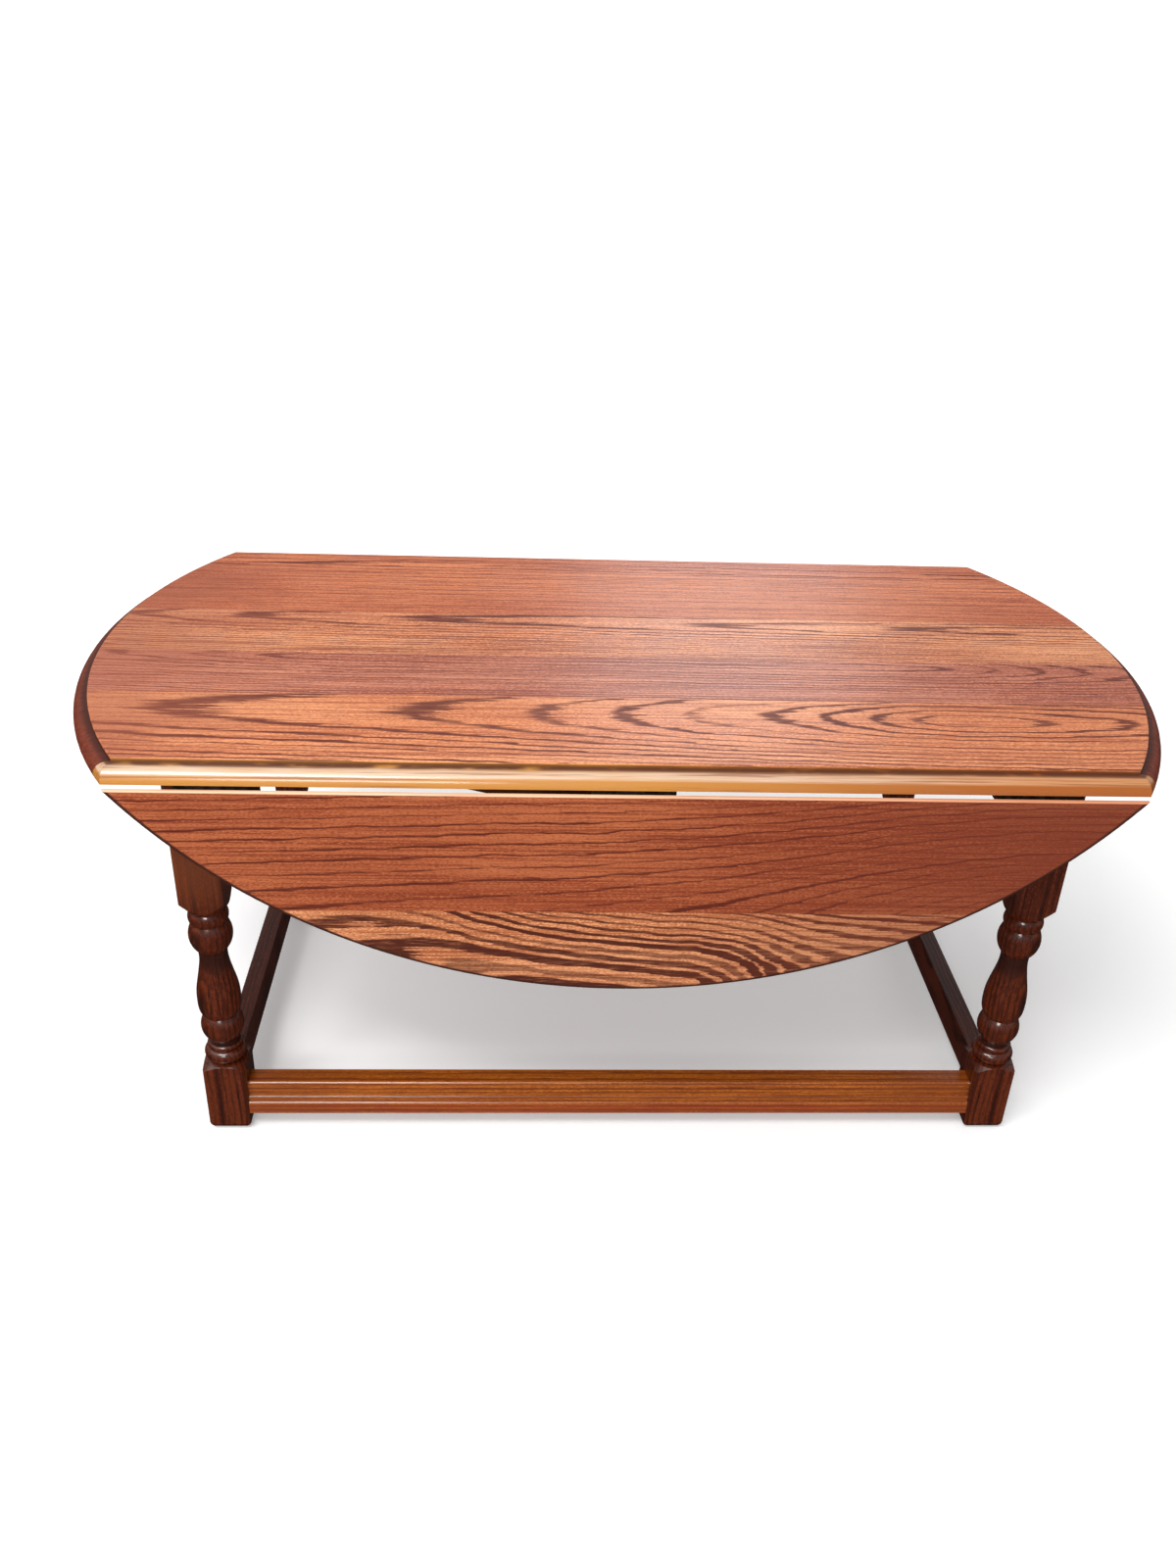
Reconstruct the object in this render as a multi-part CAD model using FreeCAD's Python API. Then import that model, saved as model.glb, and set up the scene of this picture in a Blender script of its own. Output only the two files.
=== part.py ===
"""Oak drop-leaf coffee table: an oval top in three parts on a turned, box-stretchered frame.

Millimetres, +Z up, floor at z = 0, origin on the floor under the middle of the top.
X runs along the two hinge lines and -Y is the front. Both leaves hang down, and both
support brackets are folded under the top. What stands at the back is the front turned
half round the vertical axis, so each pair is made once.
"""
import FreeCAD, Part
import math
import os

# ---- driving dimensions ----
TABLE_HEIGHT = 457.0
BOARD = 18.0                    # thickness of the top and of the leaves
HINGE_LINE = 266.0              # hinge pin distance from the middle of the top, along Y
PIN_DROP = 2.5                  # hinge pin centre below the underside of the top
LIP = 4.0                       # height of the small step round the moulded edge
COVE_GAP = 0.8                  # clearance between the thumbnail and the leaf's cove
LEAF_GAP = 0.8                  # gap between the top's lip and the leaf's lip when open

TOP_HALF_LENGTH = 546.0         # oval of the centre panel, measured at its underside
TOP_HALF_WIDTH = 525.5
END_MOULDING = 14.6             # width of the moulding round the curved ends
END_ROUND = 13.8
LEAF_HALF_LENGTH = 555.0        # oval that the leaves are sawn to
LEAF_HALF_WIDTH = 480.0
LEAF_FACE_ROUND = 4.5
LEAF_BACK_ROUND = 1.5
ARRIS = 1.0                     # softening of the sharp lips

LEG_X = 401.6                   # leg axis
LEG_Y = 220.3
LEG = 43.0                      # side of the square blocks
LEG_ARRIS = 3.5
FOOT_ROUND = 10.0
FOOT_SHOULDER = (78.0, 85.0)    # heights between which the foot block runs out to the turning
HEAD_SHOULDER = (275.5, 288.5)
LEG_TURNING = [                 # (radius, height) points up the leg
    ("line", [(15.5, 87.0)]),
    ("arc", [(21.2, 94.0), (15.5, 101.0)]),         # bead on the foot block
    ("arc", [(17.6, 104.3), (14.2, 107.6)]),        # small bead
    ("curve", [(13.9, 110.2), (15.3, 113.0)]),      # neck
    ("arc", [(21.3, 128.0), (16.6, 142.0)]),        # lower ball
    ("curve", [(19.8, 147.0), (21.45, 159.0), (21.0, 172.0), (18.3, 187.0), (15.4, 201.0),
               (13.9, 214.0), (14.4, 222.0)]),      # vase
    ("arc", [(21.3, 239.0), (17.0, 254.5)]),        # upper ball
    ("arc", [(19.6, 262.0), (17.0, 269.0)]),        # ring under the head block
]

STRETCHER_BOTTOM = 22.0
STRETCHER_OFFSET = 14.7         # upper outer face, outward of the leg axis
STRETCHER_THICKNESS = 20.4
STRETCHER_TENON = (10.0, 26.0, 18.0)    # thickness, height, length
STRETCHER_TENON_UP = 6.0

APRON_DEPTH = 110.0
APRON_THICKNESS = 20.0
APRON_SETBACK = 5.0
APRON_TENON = (8.0, 80.0, 16.0)
APRON_TENON_UP = 12.0
FIT = 0.1                       # clearance of wooden joints and screw holes

RAIL_DEPTH = 46.0               # spine rail and centre rail
SPINE_THICKNESS = 22.0
SPINE_TENON = (12.0, 8.0)       # thickness, length
SPINE_TENON_UP = 6.0
SPINE_TENON_DOWN = 8.0
CENTRE_RAIL_WIDTH = 44.0
CENTRE_RAIL_HALF = 150.0
BEARER_THICKNESS = 20.0
BEARER_HALF = 240.0
BEARER_ROUND = 6.0
BEARER_SCREW_X = 11.0
BEARER_SCREW_Y = (50.0, 120.0)

BRACKET_Y = 220.0               # pivot pin of the support bracket
BRACKET_LENGTH = 225.0
BRACKET_THICKNESS = 22.0
BRACKET_TIP_DEPTH = 22.0
BRACKET_NOSE = 8.0
BRACKET_CLEAR = 0.4             # gap under the top
BRACKET_RELIEF = 1.5            # further gap that keeps the root clear of the centre hinge
BRACKET_ROOT = 60.0             # length of the deep part, from the pivot
RELIEF_END = (95.0, 106.0)
WASHER = 1.0
WASHER_RADIUS = 10.0
PIVOT_PIN_RADIUS = 4.0
PIVOT_PIN_BITE = 9.0            # depth of the pin's hole in the top
PIVOT_PIN_SHORT = (2.0, 0.5)    # how far the pin stops short of its hole's ends
RUNNING_FIT = 0.05

HINGE_X = (-366.0, 0.0, 366.0)
HINGE_NAMES = ("left", "middle", "right")
HINGE_WIDTH = 76.0
PLATE = 1.6
TOP_FLAP = 23.5                 # reach of the flap under the top, just short of the legs
LEAF_FLAP = 45.0                # longer flap, which spans the cove
KNUCKLE_RADIUS = 2.3
KNUCKLES = 5
KNUCKLE_GAP = 0.3
KNUCKLE_CLEAR = 0.4             # between a knuckle and the other flap's plate
FLAP_RELIEF = 0.2               # the flaps are thinned this much near the knuckles
TOP_RELIEF_END = 3.5
NECK_LAP = 0.5
HINGE_PIN_RADIUS = 1.3
FLAP_SCREW_PITCH = 26.0
TOP_SCREW_U = -18.0
LEAF_SCREW_U = 31.0

BUTTON = (30.0, 40.0, 18.0)     # wooden button: width, length, thickness
BUTTON_TONGUE = (8.0, 9.0)      # thickness and length of its tongue
SLOT_FIT = 0.3                  # clearance round a button's tongue
END_BUTTON_Y = 100.0
SPINE_BUTTON_X = 200.0
CORNER_BLOCK = (40.0, 40.0, 30.0)

FLAP_SCREW = (11.5, 1.5, 3.2)   # length, shank radius, head radius
BUTTON_SCREW = (28.0, 2.0, 4.0)
BLOCK_SCREW = (40.0, 2.0, 4.0)
SIDE_SCREW = (52.0, 2.0, 4.0)
BEARER_SCREW = (45.0, 2.25, 4.5)
SLOT_WIDTH = 0.9
SLOT_SHARE = 0.45               # depth of a screw's slot, as a share of its head
TIP_SHARE = 0.8                 # length of a screw's point, as a share of its shank radius

# ---- worked out ----
UNDERSIDE = TABLE_HEIGHT - BOARD
PIN_Z = UNDERSIDE - PIN_DROP
THUMBNAIL = BOARD + PIN_DROP - LIP
COVE = THUMBNAIL + COVE_GAP
LEG_HALF = LEG / 2.0
LEG_CORNER = LEG_HALF * math.sqrt(2.0)
APRON_FACE = LEG_X + LEG_HALF - APRON_SETBACK
APRON_INNER = APRON_FACE - APRON_THICKNESS
RAIL_BOTTOM = UNDERSIDE - RAIL_DEPTH
FAR = 700.0                     # beyond every edge, for sections that are cut off later
PAST = 1.0                      # how far a cut runs past what it cuts

X_AXIS = FreeCAD.Vector(1, 0, 0)
Y_AXIS = FreeCAD.Vector(0, 1, 0)
Z_AXIS = FreeCAD.Vector(0, 0, 1)
ORIGIN = FreeCAD.Vector(0, 0, 0)


# ---- helpers ----
def box(x, y, z):
    """Box from three (low, high) pairs."""
    corner = FreeCAD.Vector(x[0], y[0], z[0])
    return Part.makeBox(x[1] - x[0], y[1] - y[0], z[1] - z[0], corner)


def rod(radius, length, base, direction=Z_AXIS):
    return Part.makeCylinder(radius, length, base, direction)


def line(a, b):
    return Part.LineSegment(a, b).toShape()


def arc(a, middle, b):
    return Part.Arc(a, middle, b).toShape()


def curve_through(points):
    curve = Part.BSplineCurve()
    curve.interpolate(points)
    return curve.toShape()


def closed_face(points):
    return Part.Face(Part.makePolygon(list(points) + [points[0]]))


def turned(shape, angle, centre=ORIGIN, axis=Z_AXIS):
    copy = shape.copy()
    copy.rotate(centre, axis, angle)
    return copy


def moved(shape, x=0.0, y=0.0, z=0.0):
    copy = shape.copy()
    copy.translate(FreeCAD.Vector(x, y, z))
    return copy


def to_back(shape):
    """The same thing at the back of the table."""
    return turned(shape, 180.0)


def both_ways(shape):
    return [shape, to_back(shape)]


def mirrored(shape, normal):
    return shape.mirror(ORIGIN, normal)


def four_corners(shape):
    """Copies of a shape made for the front left corner, left and right, front and back."""
    pair = [shape, mirrored(shape, X_AXIS)]
    return pair + [mirrored(item, Y_AXIS) for item in pair]


def edges_at(shape, test):
    return [edge for edge in shape.Edges if test(edge.BoundBox)]


def all_at_height(z):
    def test(bounds):
        return abs(bounds.ZMin - z) < 1e-4 and abs(bounds.ZMax - z) < 1e-4
    return test


def oval(half_length, half_width, z_low, z_high):
    """Elliptical slab about the vertical axis."""
    ellipse = Part.Ellipse(FreeCAD.Vector(0, 0, z_low), half_length, half_width)
    face = Part.Face(Part.Wire(ellipse.toShape()))
    return face.extrude(FreeCAD.Vector(0, 0, z_high - z_low))


def one_solid(shape):
    return shape.removeSplitter().Solids[0]


# ---- the rule joint, in (u, v): u outward from the hinge pin, v up from it ----
def joint_point(u, v):
    """Point of the front rule joint at the far left of the working section."""
    return FreeCAD.Vector(-FAR, -(HINGE_LINE + u), PIN_Z + v)


def round_point(radius, u):
    return joint_point(u, math.sqrt(radius ** 2 - u ** 2))


def round_end(radius, v):
    return joint_point(math.sqrt(radius ** 2 - v ** 2), v)


def long_section(edges):
    """Solid of a closed Y-Z outline, run past both ends of the table."""
    return Part.Face(Part.Wire(edges)).extrude(FreeCAD.Vector(2 * FAR, 0, 0))


def centre_section():
    crown = joint_point(0, THUMBNAIL)
    lip = joint_point(0, BOARD + PIN_DROP)
    foot = round_end(THUMBNAIL, PIN_DROP)
    middle = round_point(THUMBNAIL, THUMBNAIL * math.sin(math.radians(40)))
    half = [line(lip, crown), arc(crown, middle, foot)]
    far_half = [edge.mirror(ORIGIN, Y_AXIS) for edge in half]
    across_top = line(lip, FreeCAD.Vector(lip.x, -lip.y, lip.z))
    across_foot = line(foot, FreeCAD.Vector(foot.x, -foot.y, foot.z))
    return long_section(Part.__sortEdges__(half + far_half + [across_top, across_foot]))


def leaf_section():
    lip = joint_point(LEAF_GAP, BOARD + PIN_DROP)
    crown = round_point(COVE, LEAF_GAP)
    middle = round_point(COVE, COVE * math.sin(math.radians(42)))
    foot = round_end(COVE, PIN_DROP)
    reach = LEAF_HALF_WIDTH
    outer_foot = joint_point(reach, PIN_DROP)
    outer_top = joint_point(reach, BOARD + PIN_DROP)
    edges = [line(lip, crown), arc(crown, middle, foot), line(foot, outer_foot),
             line(outer_foot, outer_top), line(outer_top, lip)]
    return long_section(edges)


def hang(shape):
    """Swing something of the front leaf from open to hanging."""
    pin = FreeCAD.Vector(0, -HINGE_LINE, PIN_Z)
    return turned(shape, 90.0, pin, X_AXIS)


# ---- fasteners ----
def screw(length, shank, head):
    """Slotted countersunk screw pointing up, its head's face at z = 0."""
    tip = shank * TIP_SHARE
    cone = head - shank
    outline = [(0, 0), (head, 0), (shank, cone), (shank, length - tip), (0, length)]
    profile = closed_face([FreeCAD.Vector(r, 0, z) for r, z in outline])
    body = profile.revolve(ORIGIN, Z_AXIS, 360.0)
    half = SLOT_WIDTH / 2
    groove = box((-head, head), (-half, half), (-PAST, cone * SLOT_SHARE))
    return body.cut(groove).Solids[0]


def screw_hole(length, shank, head):
    """What is cut from wood or metal for the same screw."""
    radius = shank + FIT
    outline = [(0, 0), (head + FIT, 0), (radius, head - shank), (radius, length + PAST),
               (0, length + PAST)]
    profile = closed_face([FreeCAD.Vector(r, 0, z) for r, z in outline])
    return profile.revolve(ORIGIN, Z_AXIS, 360.0)


def flap_screw_places(u):
    """Screw heads of the front hinges, at the lower face of their open flaps."""
    places = []
    for hinge in HINGE_X:
        for step in (-1, 0, 1):
            places.append((hinge + step * FLAP_SCREW_PITCH, -(HINGE_LINE + u)))
    return places


def placed(shape, places, z):
    return [moved(shape, x, y, z) for x, y in places]


# ---- hinges ----
def knuckle_spans():
    """(start, end, owner) of the knuckles along X, counted from the hinge's middle."""
    pitch = HINGE_WIDTH / KNUCKLES
    spans = []
    for index in range(KNUCKLES):
        start = -HINGE_WIDTH / 2 + index * pitch
        owner = "top" if index % 2 == 0 else "leaf"
        spans.append((start + KNUCKLE_GAP / 2, start + pitch - KNUCKLE_GAP / 2, owner))
    return spans


def flap(owner, side, reach, relief_end):
    """One half of a hinge at x = 0, open. side is -1 under the top and +1 under the leaf."""
    base = -HINGE_LINE
    clear = KNUCKLE_RADIUS + KNUCKLE_CLEAR
    half = HINGE_WIDTH / 2

    def along(u_low, u_high):
        ends = sorted((base - side * u_low, base - side * u_high))
        return (ends[0], ends[1])

    face = PIN_Z + PIN_DROP
    low = face - PLATE
    thin = box((-half, half), along(clear, reach), (low, face - FLAP_RELIEF))
    shape = thin.fuse(box((-half, half), along(relief_end, reach), (low, face)))
    pin = FreeCAD.Vector(0, base, PIN_Z)
    for start, end, belongs in knuckle_spans():
        if belongs != owner:
            continue
        barrel = rod(KNUCKLE_RADIUS, end - start, pin + FreeCAD.Vector(start, 0, 0), X_AXIS)
        neck = box((start, end), along(0.0, clear + NECK_LAP), (low, PIN_Z + KNUCKLE_RADIUS))
        shape = shape.fuse(barrel).fuse(neck)
    bore = rod(HINGE_PIN_RADIUS + RUNNING_FIT, HINGE_WIDTH + 2 * PAST,
               pin - FreeCAD.Vector(half + PAST, 0, 0), X_AXIS)
    return shape.cut(bore)


def drill_flap(shape, hinge, u, z):
    hole = screw_hole(*FLAP_SCREW)
    for x, y in flap_screw_places(u):
        if abs(x - hinge) < HINGE_WIDTH / 2:
            shape = shape.cut(moved(hole, x, y, z))
    return one_solid(shape)


def hinges():
    """The three front hinges: a node for each flap and each pin."""
    nodes = {}
    plate_face = PIN_Z + PIN_DROP - PLATE
    top_flap = flap("top", -1, TOP_FLAP, TOP_RELIEF_END)
    leaf_flap = flap("leaf", 1, LEAF_FLAP, COVE)
    for hinge, name in zip(HINGE_X, HINGE_NAMES):
        upper = drill_flap(moved(top_flap, hinge), hinge, TOP_SCREW_U, plate_face)
        lower = drill_flap(moved(leaf_flap, hinge), hinge, LEAF_SCREW_U, plate_face)
        start = FreeCAD.Vector(hinge - HINGE_WIDTH / 2, -HINGE_LINE, PIN_Z)
        nodes["hinge_%s_top_flap" % name] = upper
        nodes["hinge_%s_leaf_flap" % name] = hang(lower)
        nodes["hinge_%s_pin" % name] = rod(HINGE_PIN_RADIUS, HINGE_WIDTH, start, X_AXIS)
    return nodes


# ---- the three parts of the top ----
def button_places():
    """(x, y, direction) of each button's screw; direction points at the rail it grips."""
    reach = BUTTON[1] / 2
    out = SPINE_THICKNESS / 2 + reach
    places = []
    for side in (-1, 1):
        for way in (-1, 1):
            places.append((side * (APRON_INNER - reach), way * END_BUTTON_Y, (side, 0)))
            places.append((way * SPINE_BUTTON_X, side * out, (0, -side)))
    return places


def block_places():
    x = APRON_INNER - CORNER_BLOCK[0] / 2
    y = LEG_Y - LEG_HALF - CORNER_BLOCK[1] / 2
    return [(sx * x, sy * y) for sx in (-1, 1) for sy in (-1, 1)]


def top_panel():
    foot = UNDERSIDE + BOARD - LIP
    moulded = oval(TOP_HALF_LENGTH, TOP_HALF_WIDTH, UNDERSIDE, foot)
    moulded = moulded.makeFillet(END_ROUND, edges_at(moulded, all_at_height(foot)))
    field = oval(TOP_HALF_LENGTH - END_MOULDING, TOP_HALF_WIDTH - END_MOULDING,
                 UNDERSIDE + PAST, TABLE_HEIGHT)
    panel = centre_section().common(moulded.fuse(field))
    panel = one_solid(panel)
    panel = panel.makeFillet(ARRIS, edges_at(panel, all_at_height(TABLE_HEIGHT)))
    holes = []
    flap_hole = screw_hole(*FLAP_SCREW)
    for hole in placed(flap_hole, flap_screw_places(TOP_SCREW_U), UNDERSIDE - PLATE):
        holes += both_ways(hole)
    pin_hole = rod(PIVOT_PIN_RADIUS + RUNNING_FIT, PIVOT_PIN_BITE,
                   FreeCAD.Vector(0, -BRACKET_Y, UNDERSIDE))
    holes += both_ways(pin_hole)
    button_hole = screw_hole(*BUTTON_SCREW)
    places = [(x, y) for x, y, direction in button_places()]
    holes += placed(button_hole, places, UNDERSIDE - BUTTON[2])
    block_hole = screw_hole(*BLOCK_SCREW)
    holes += placed(block_hole, block_places(), UNDERSIDE - CORNER_BLOCK[2])
    return one_solid(panel.cut(Part.makeCompound(holes)))


def front_leaf():
    slab = oval(LEAF_HALF_LENGTH, LEAF_HALF_WIDTH, UNDERSIDE, TABLE_HEIGHT)
    slab = slab.makeFillet(LEAF_FACE_ROUND, edges_at(slab, all_at_height(TABLE_HEIGHT)))
    slab = slab.makeFillet(LEAF_BACK_ROUND, edges_at(slab, all_at_height(UNDERSIDE)))
    leaf = one_solid(leaf_section().common(slab))
    lip_y = -(HINGE_LINE + LEAF_GAP)

    def on_lip(bounds):
        level = abs(bounds.ZMin - TABLE_HEIGHT) < 1e-4
        return level and abs(bounds.YMin - lip_y) < 1e-4 and abs(bounds.YMax - lip_y) < 1e-4

    leaf = leaf.makeFillet(ARRIS, edges_at(leaf, on_lip))
    holes = placed(screw_hole(*FLAP_SCREW), flap_screw_places(LEAF_SCREW_U), UNDERSIDE - PLATE)
    return hang(one_solid(leaf.cut(Part.makeCompound(holes))))


# ---- legs ----
def turned_envelope():
    """Solid that the lathe leaves: wider than the square blocks, turned between them."""
    def point(radius, z):
        return FreeCAD.Vector(radius, 0, z)

    def outline(kind, start, points):
        if kind == "line":
            return line(start, points[0])
        if kind == "arc":
            return arc(start, points[0], points[1])
        return curve_through([start] + points)

    wide = LEG_CORNER + PAST
    top = UNDERSIDE + PAST
    below = [("line", [(wide, -PAST)]), ("line", [(wide, FOOT_SHOULDER[0])]),
             ("line", [(LEG_HALF, FOOT_SHOULDER[1])])]
    above = [("line", [(LEG_HALF, HEAD_SHOULDER[0])]), ("line", [(wide, HEAD_SHOULDER[1])]),
             ("line", [(wide, top)]), ("line", [(0, top)]), ("line", [(0, -PAST)])]
    here = point(0, -PAST)
    edges = []
    for kind, pairs in below + LEG_TURNING + above:
        points = [point(radius, z) for radius, z in pairs]
        edges.append(outline(kind, here, points))
        here = points[-1]
    return Part.Face(Part.Wire(edges)).revolve(ORIGIN, Z_AXIS, 360.0)


def is_vertical(bounds):
    return bounds.ZLength > 5.0 and bounds.XLength < 1e-4 and bounds.YLength < 1e-4


def front_left_leg():
    square = box((-LEG_HALF, LEG_HALF), (-LEG_HALF, LEG_HALF), (0, UNDERSIDE))
    square = square.makeFillet(FOOT_ROUND, edges_at(square, all_at_height(0)))
    square = square.makeFillet(LEG_ARRIS, edges_at(square, is_vertical))
    leg = one_solid(square.common(turned_envelope()))
    leg = moved(leg, -LEG_X, -LEG_Y)
    for tenon in (front_stretcher_tenon(), left_stretcher_tenon(), apron_tenon()):
        leg = leg.cut(tenon)
    return one_solid(leg)


# ---- mortise and tenon joints, front left corner ----
def grown(x, y, z, by):
    """Box spans with clearance by on every side."""
    return box((x[0] - by, x[1] + by), (y[0] - by, y[1] + by), (z[0] - by, z[1] + by))


def stretcher_tenon_spans():
    """Across the stretcher, measured outward from the leg axis, and up."""
    thickness, height, length = STRETCHER_TENON
    centre = STRETCHER_OFFSET - STRETCHER_THICKNESS / 2
    z_low = STRETCHER_BOTTOM + STRETCHER_TENON_UP
    across = (centre - thickness / 2, centre + thickness / 2)
    return across, (z_low, z_low + height), length


def front_stretcher_tenon(by=FIT):
    across, z, length = stretcher_tenon_spans()
    inner = -LEG_X + LEG_HALF
    return grown((inner - length, inner + PAST), (-LEG_Y - across[1], -LEG_Y - across[0]), z, by)


def left_stretcher_tenon(by=FIT):
    across, z, length = stretcher_tenon_spans()
    inner = -LEG_Y + LEG_HALF
    return grown((-LEG_X - across[1], -LEG_X - across[0]), (inner - length, inner + PAST), z, by)


def apron_tenon(by=FIT):
    thickness, height, length = APRON_TENON
    inner = -LEG_Y + LEG_HALF
    centre = -(APRON_FACE + APRON_INNER) / 2
    z_low = UNDERSIDE - APRON_DEPTH + APRON_TENON_UP
    return grown((centre - thickness / 2, centre + thickness / 2), (inner - length, inner + PAST),
                 (z_low, z_low + height), by)


# ---- stretchers ----
def stretcher_section():
    """Face in Y-Z at x = 0: outer side toward -Y, y = 0 on the upper outer face."""
    bottom = STRETCHER_BOTTOM
    top_round = 3.2
    bead_round = 2.0
    step = 3.1
    foot_face = 11.6
    bead_face = 3.4
    upper_face = 14.1
    shoulder = foot_face + step
    upper = shoulder + bead_face + bead_round
    height = upper + upper_face + top_round

    def at(out, z):
        return FreeCAD.Vector(0, -out, bottom + z)

    def quarter(out, z, radius):
        """Convex quarter round that ends at (out, z) from (out - radius, z + radius)."""
        slant = radius * math.sqrt(0.5)
        middle = at(out - radius + slant, z + slant)
        return arc(at(out - radius, z + radius), middle, at(out, z))

    projection = bead_round + step
    inner = -STRETCHER_THICKNESS
    return Part.Face(Part.Wire([
        line(at(inner, 0), at(inner, height)),
        line(at(inner, height), at(-top_round, height)),
        quarter(0, height - top_round, top_round),
        line(at(0, height - top_round), at(0, upper)),
        quarter(bead_round, upper - bead_round, bead_round),
        line(at(bead_round, upper - bead_round), at(bead_round, shoulder)),
        quarter(projection, foot_face, step),
        line(at(projection, foot_face), at(projection, 0)),
        line(at(projection, 0), at(inner, 0)),
    ]))


def stretcher(length):
    """Stretcher along X, centred on x = 0, its upper outer face in the plane y = 0."""
    section = moved(stretcher_section(), -length / 2)
    return section.extrude(FreeCAD.Vector(length, 0, 0))


def front_stretcher():
    rail = moved(stretcher(2 * (LEG_X - LEG_HALF)), 0, -(LEG_Y + STRETCHER_OFFSET))
    tenon = front_stretcher_tenon(0.0)
    return one_solid(rail.fuse([tenon, mirrored(tenon, X_AXIS)]))


def left_stretcher():
    rail = turned(stretcher(2 * (LEG_Y - LEG_HALF)), -90.0)
    rail = moved(rail, -(LEG_X + STRETCHER_OFFSET))
    tenon = left_stretcher_tenon(0.0)
    return one_solid(rail.fuse([tenon, mirrored(tenon, Y_AXIS)]))


# ---- rails under the top ----
def button_slot(x, y, direction, by):
    """Space of a button's tongue in the rail that it grips."""
    thickness, length = BUTTON_TONGUE
    dx, dy = direction
    reach = BUTTON[1] / 2
    half = BUTTON[0] / 2
    low = UNDERSIDE - BUTTON[2]
    inner = reach - PAST
    outer = reach + length
    if dx:
        span = sorted((x + dx * inner, x + dx * (outer + by)))
        return box(span, (y - half - by, y + half + by), (low - by, low + thickness + by))
    span = sorted((y + dy * inner, y + dy * (outer + by)))
    return box((x - half - by, x + half + by), span, (low - by, low + thickness + by))


def left_apron():
    shoulder = LEG_Y - LEG_HALF
    rail = box((-APRON_FACE, -APRON_INNER), (-shoulder, shoulder),
               (UNDERSIDE - APRON_DEPTH, UNDERSIDE))
    tenon = apron_tenon(0.0)
    rail = rail.fuse([tenon, mirrored(tenon, Y_AXIS)])
    housing = spine_tenon(-1, FIT)
    rail = rail.cut(housing)
    for place in button_places():
        rail = rail.cut(button_slot(*place, SLOT_FIT))
    side_hole = side_screw_shape(screw_hole(*SIDE_SCREW))
    for y in (block_places()[0][1], -block_places()[0][1]):
        rail = rail.cut(moved(side_hole, -APRON_INNER + CORNER_BLOCK[0], y))
    return one_solid(rail)


def side_screw_shape(shape):
    """Turn an upright screw to point at -X, at the height of the corner blocks."""
    lying = turned(shape, -90.0, ORIGIN, Y_AXIS)
    return moved(lying, 0, 0, UNDERSIDE - CORNER_BLOCK[2] / 2)


def spine_tenon(side, by):
    thickness, length = SPINE_TENON
    half = thickness / 2 + by
    ends = sorted((side * (APRON_INNER - PAST), side * (APRON_INNER + length + by)))
    z = (RAIL_BOTTOM + SPINE_TENON_UP - by, UNDERSIDE - SPINE_TENON_DOWN + by)
    return box(ends, (-half, half), z)


def spine_rail():
    half = SPINE_THICKNESS / 2
    rail = box((-APRON_INNER, APRON_INNER), (-half, half), (RAIL_BOTTOM, UNDERSIDE))
    rail = rail.fuse([spine_tenon(-1, 0.0), spine_tenon(1, 0.0)])
    lap = CENTRE_RAIL_WIDTH / 2 + FIT
    rail = rail.cut(box((-lap, lap), (-half - PAST, half + PAST),
                        (UNDERSIDE - RAIL_DEPTH / 2, UNDERSIDE + PAST)))
    for place in button_places():
        rail = rail.cut(button_slot(*place, SLOT_FIT))
    return one_solid(rail)


def centre_rail():
    half = CENTRE_RAIL_WIDTH / 2
    rail = box((-half, half), (-CENTRE_RAIL_HALF, CENTRE_RAIL_HALF), (RAIL_BOTTOM, UNDERSIDE))
    lap = SPINE_THICKNESS / 2 + FIT
    rail = rail.cut(box((-half - PAST, half + PAST), (-lap, lap),
                        (RAIL_BOTTOM - PAST, UNDERSIDE - RAIL_DEPTH / 2)))
    holes = placed(screw_hole(*BEARER_SCREW), bearer_screw_places(),
                   RAIL_BOTTOM - BEARER_THICKNESS)
    return one_solid(rail.cut(holes))


def bearer_screw_places():
    places = []
    for x in (-BEARER_SCREW_X, BEARER_SCREW_X):
        for y in BEARER_SCREW_Y:
            places += [(x, -y), (x, y)]
    return places


def centre_bearer():
    half = CENTRE_RAIL_WIDTH / 2
    low = RAIL_BOTTOM - BEARER_THICKNESS
    board = box((-half, half), (-BEARER_HALF, BEARER_HALF), (low, RAIL_BOTTOM))
    board = board.makeFillet(BEARER_ROUND, edges_at(board, is_vertical))
    holes = placed(screw_hole(*BEARER_SCREW), bearer_screw_places(), low)
    pin_hole = rod(PIVOT_PIN_RADIUS + RUNNING_FIT, BEARER_THICKNESS + 2 * PAST,
                   FreeCAD.Vector(0, -BRACKET_Y, low - PAST))
    return one_solid(board.cut(holes + both_ways(pin_hole)))


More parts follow.
